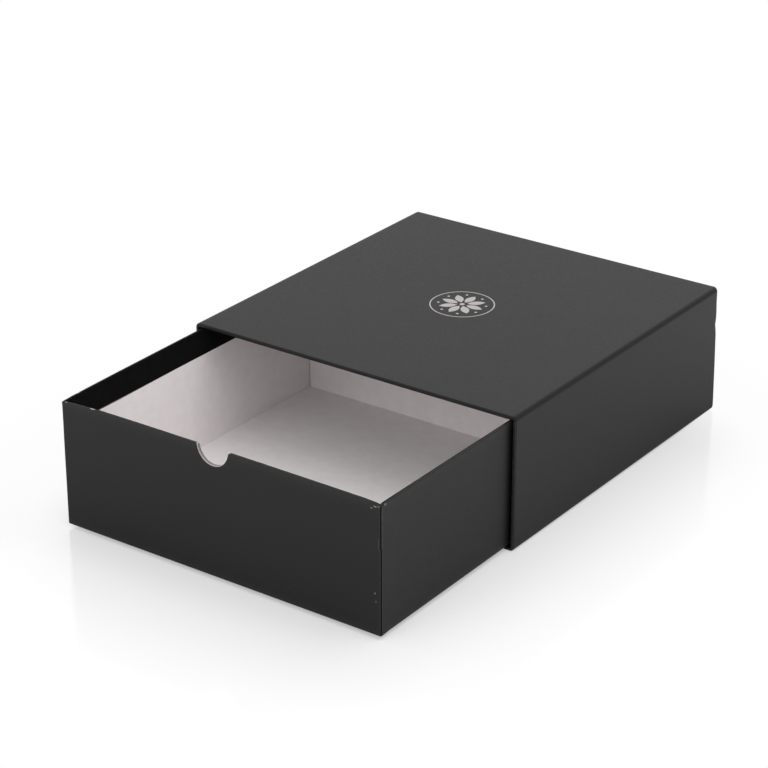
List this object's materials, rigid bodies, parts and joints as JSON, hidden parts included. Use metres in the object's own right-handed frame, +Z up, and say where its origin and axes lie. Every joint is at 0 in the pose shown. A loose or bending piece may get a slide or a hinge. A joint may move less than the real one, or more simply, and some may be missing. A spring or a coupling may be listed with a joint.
{
  "type": "sliding drawer gift box",
  "caption": "Rigid paperboard gift box: a sleeve open at the front, and a drawer with a half-round thumb notch that slides out of it.",
  "frame": {"origin": "centre of the sleeve's underside, on the table", "axes": "+Z up; the mouth and the drawer's front face -Y; +X is to the right as seen from the mouth"},
  "size_m": [0.2374, 0.3694, 0.0873],
  "materials": {
    "black_wrap_paper": "satin",
    "black_lining_paper": "matte",
    "white_lining_paper": "matte",
    "greyboard": "matte",
    "stay_tape": "matte",
    "silver_foil": "satin"
  },
  "bodies": {
    "sleeve": {"sleeve_top_board": "greyboard", "sleeve_bottom_board": "greyboard", "sleeve_left_board": "greyboard", "sleeve_right_board": "greyboard", "sleeve_back_board": "greyboard", "sleeve_top_left_tape": "stay_tape", "sleeve_top_right_tape": "stay_tape", "sleeve_bottom_left_tape": "stay_tape", "sleeve_bottom_right_tape": "stay_tape", "sleeve_wrap": "black_wrap_paper", "sleeve_base_paper": "black_wrap_paper", "sleeve_back_paper": "black_wrap_paper", "sleeve_lining": "black_lining_paper", "sleeve_back_lining": "black_lining_paper", "sleeve_foil_ornament": "silver_foil"},
    "drawer": {"drawer_bottom_board": "greyboard", "drawer_front_board": "greyboard", "drawer_back_board": "greyboard", "drawer_left_board": "greyboard", "drawer_right_board": "greyboard", "drawer_front_left_tape": "stay_tape", "drawer_front_right_tape": "stay_tape", "drawer_back_left_tape": "stay_tape", "drawer_back_right_tape": "stay_tape", "drawer_wrap": "black_wrap_paper", "drawer_floor_lining": "white_lining_paper", "drawer_front_lining": "white_lining_paper", "drawer_back_lining": "white_lining_paper", "drawer_left_lining": "white_lining_paper", "drawer_right_lining": "white_lining_paper"}
  },
  "joints": [
    {"name": "drawer_slide", "type": "slide", "parent": "sleeve", "child": "drawer", "axis": [0, -1, 0], "range_m": [-0.128, 0.12]}
  ]
}
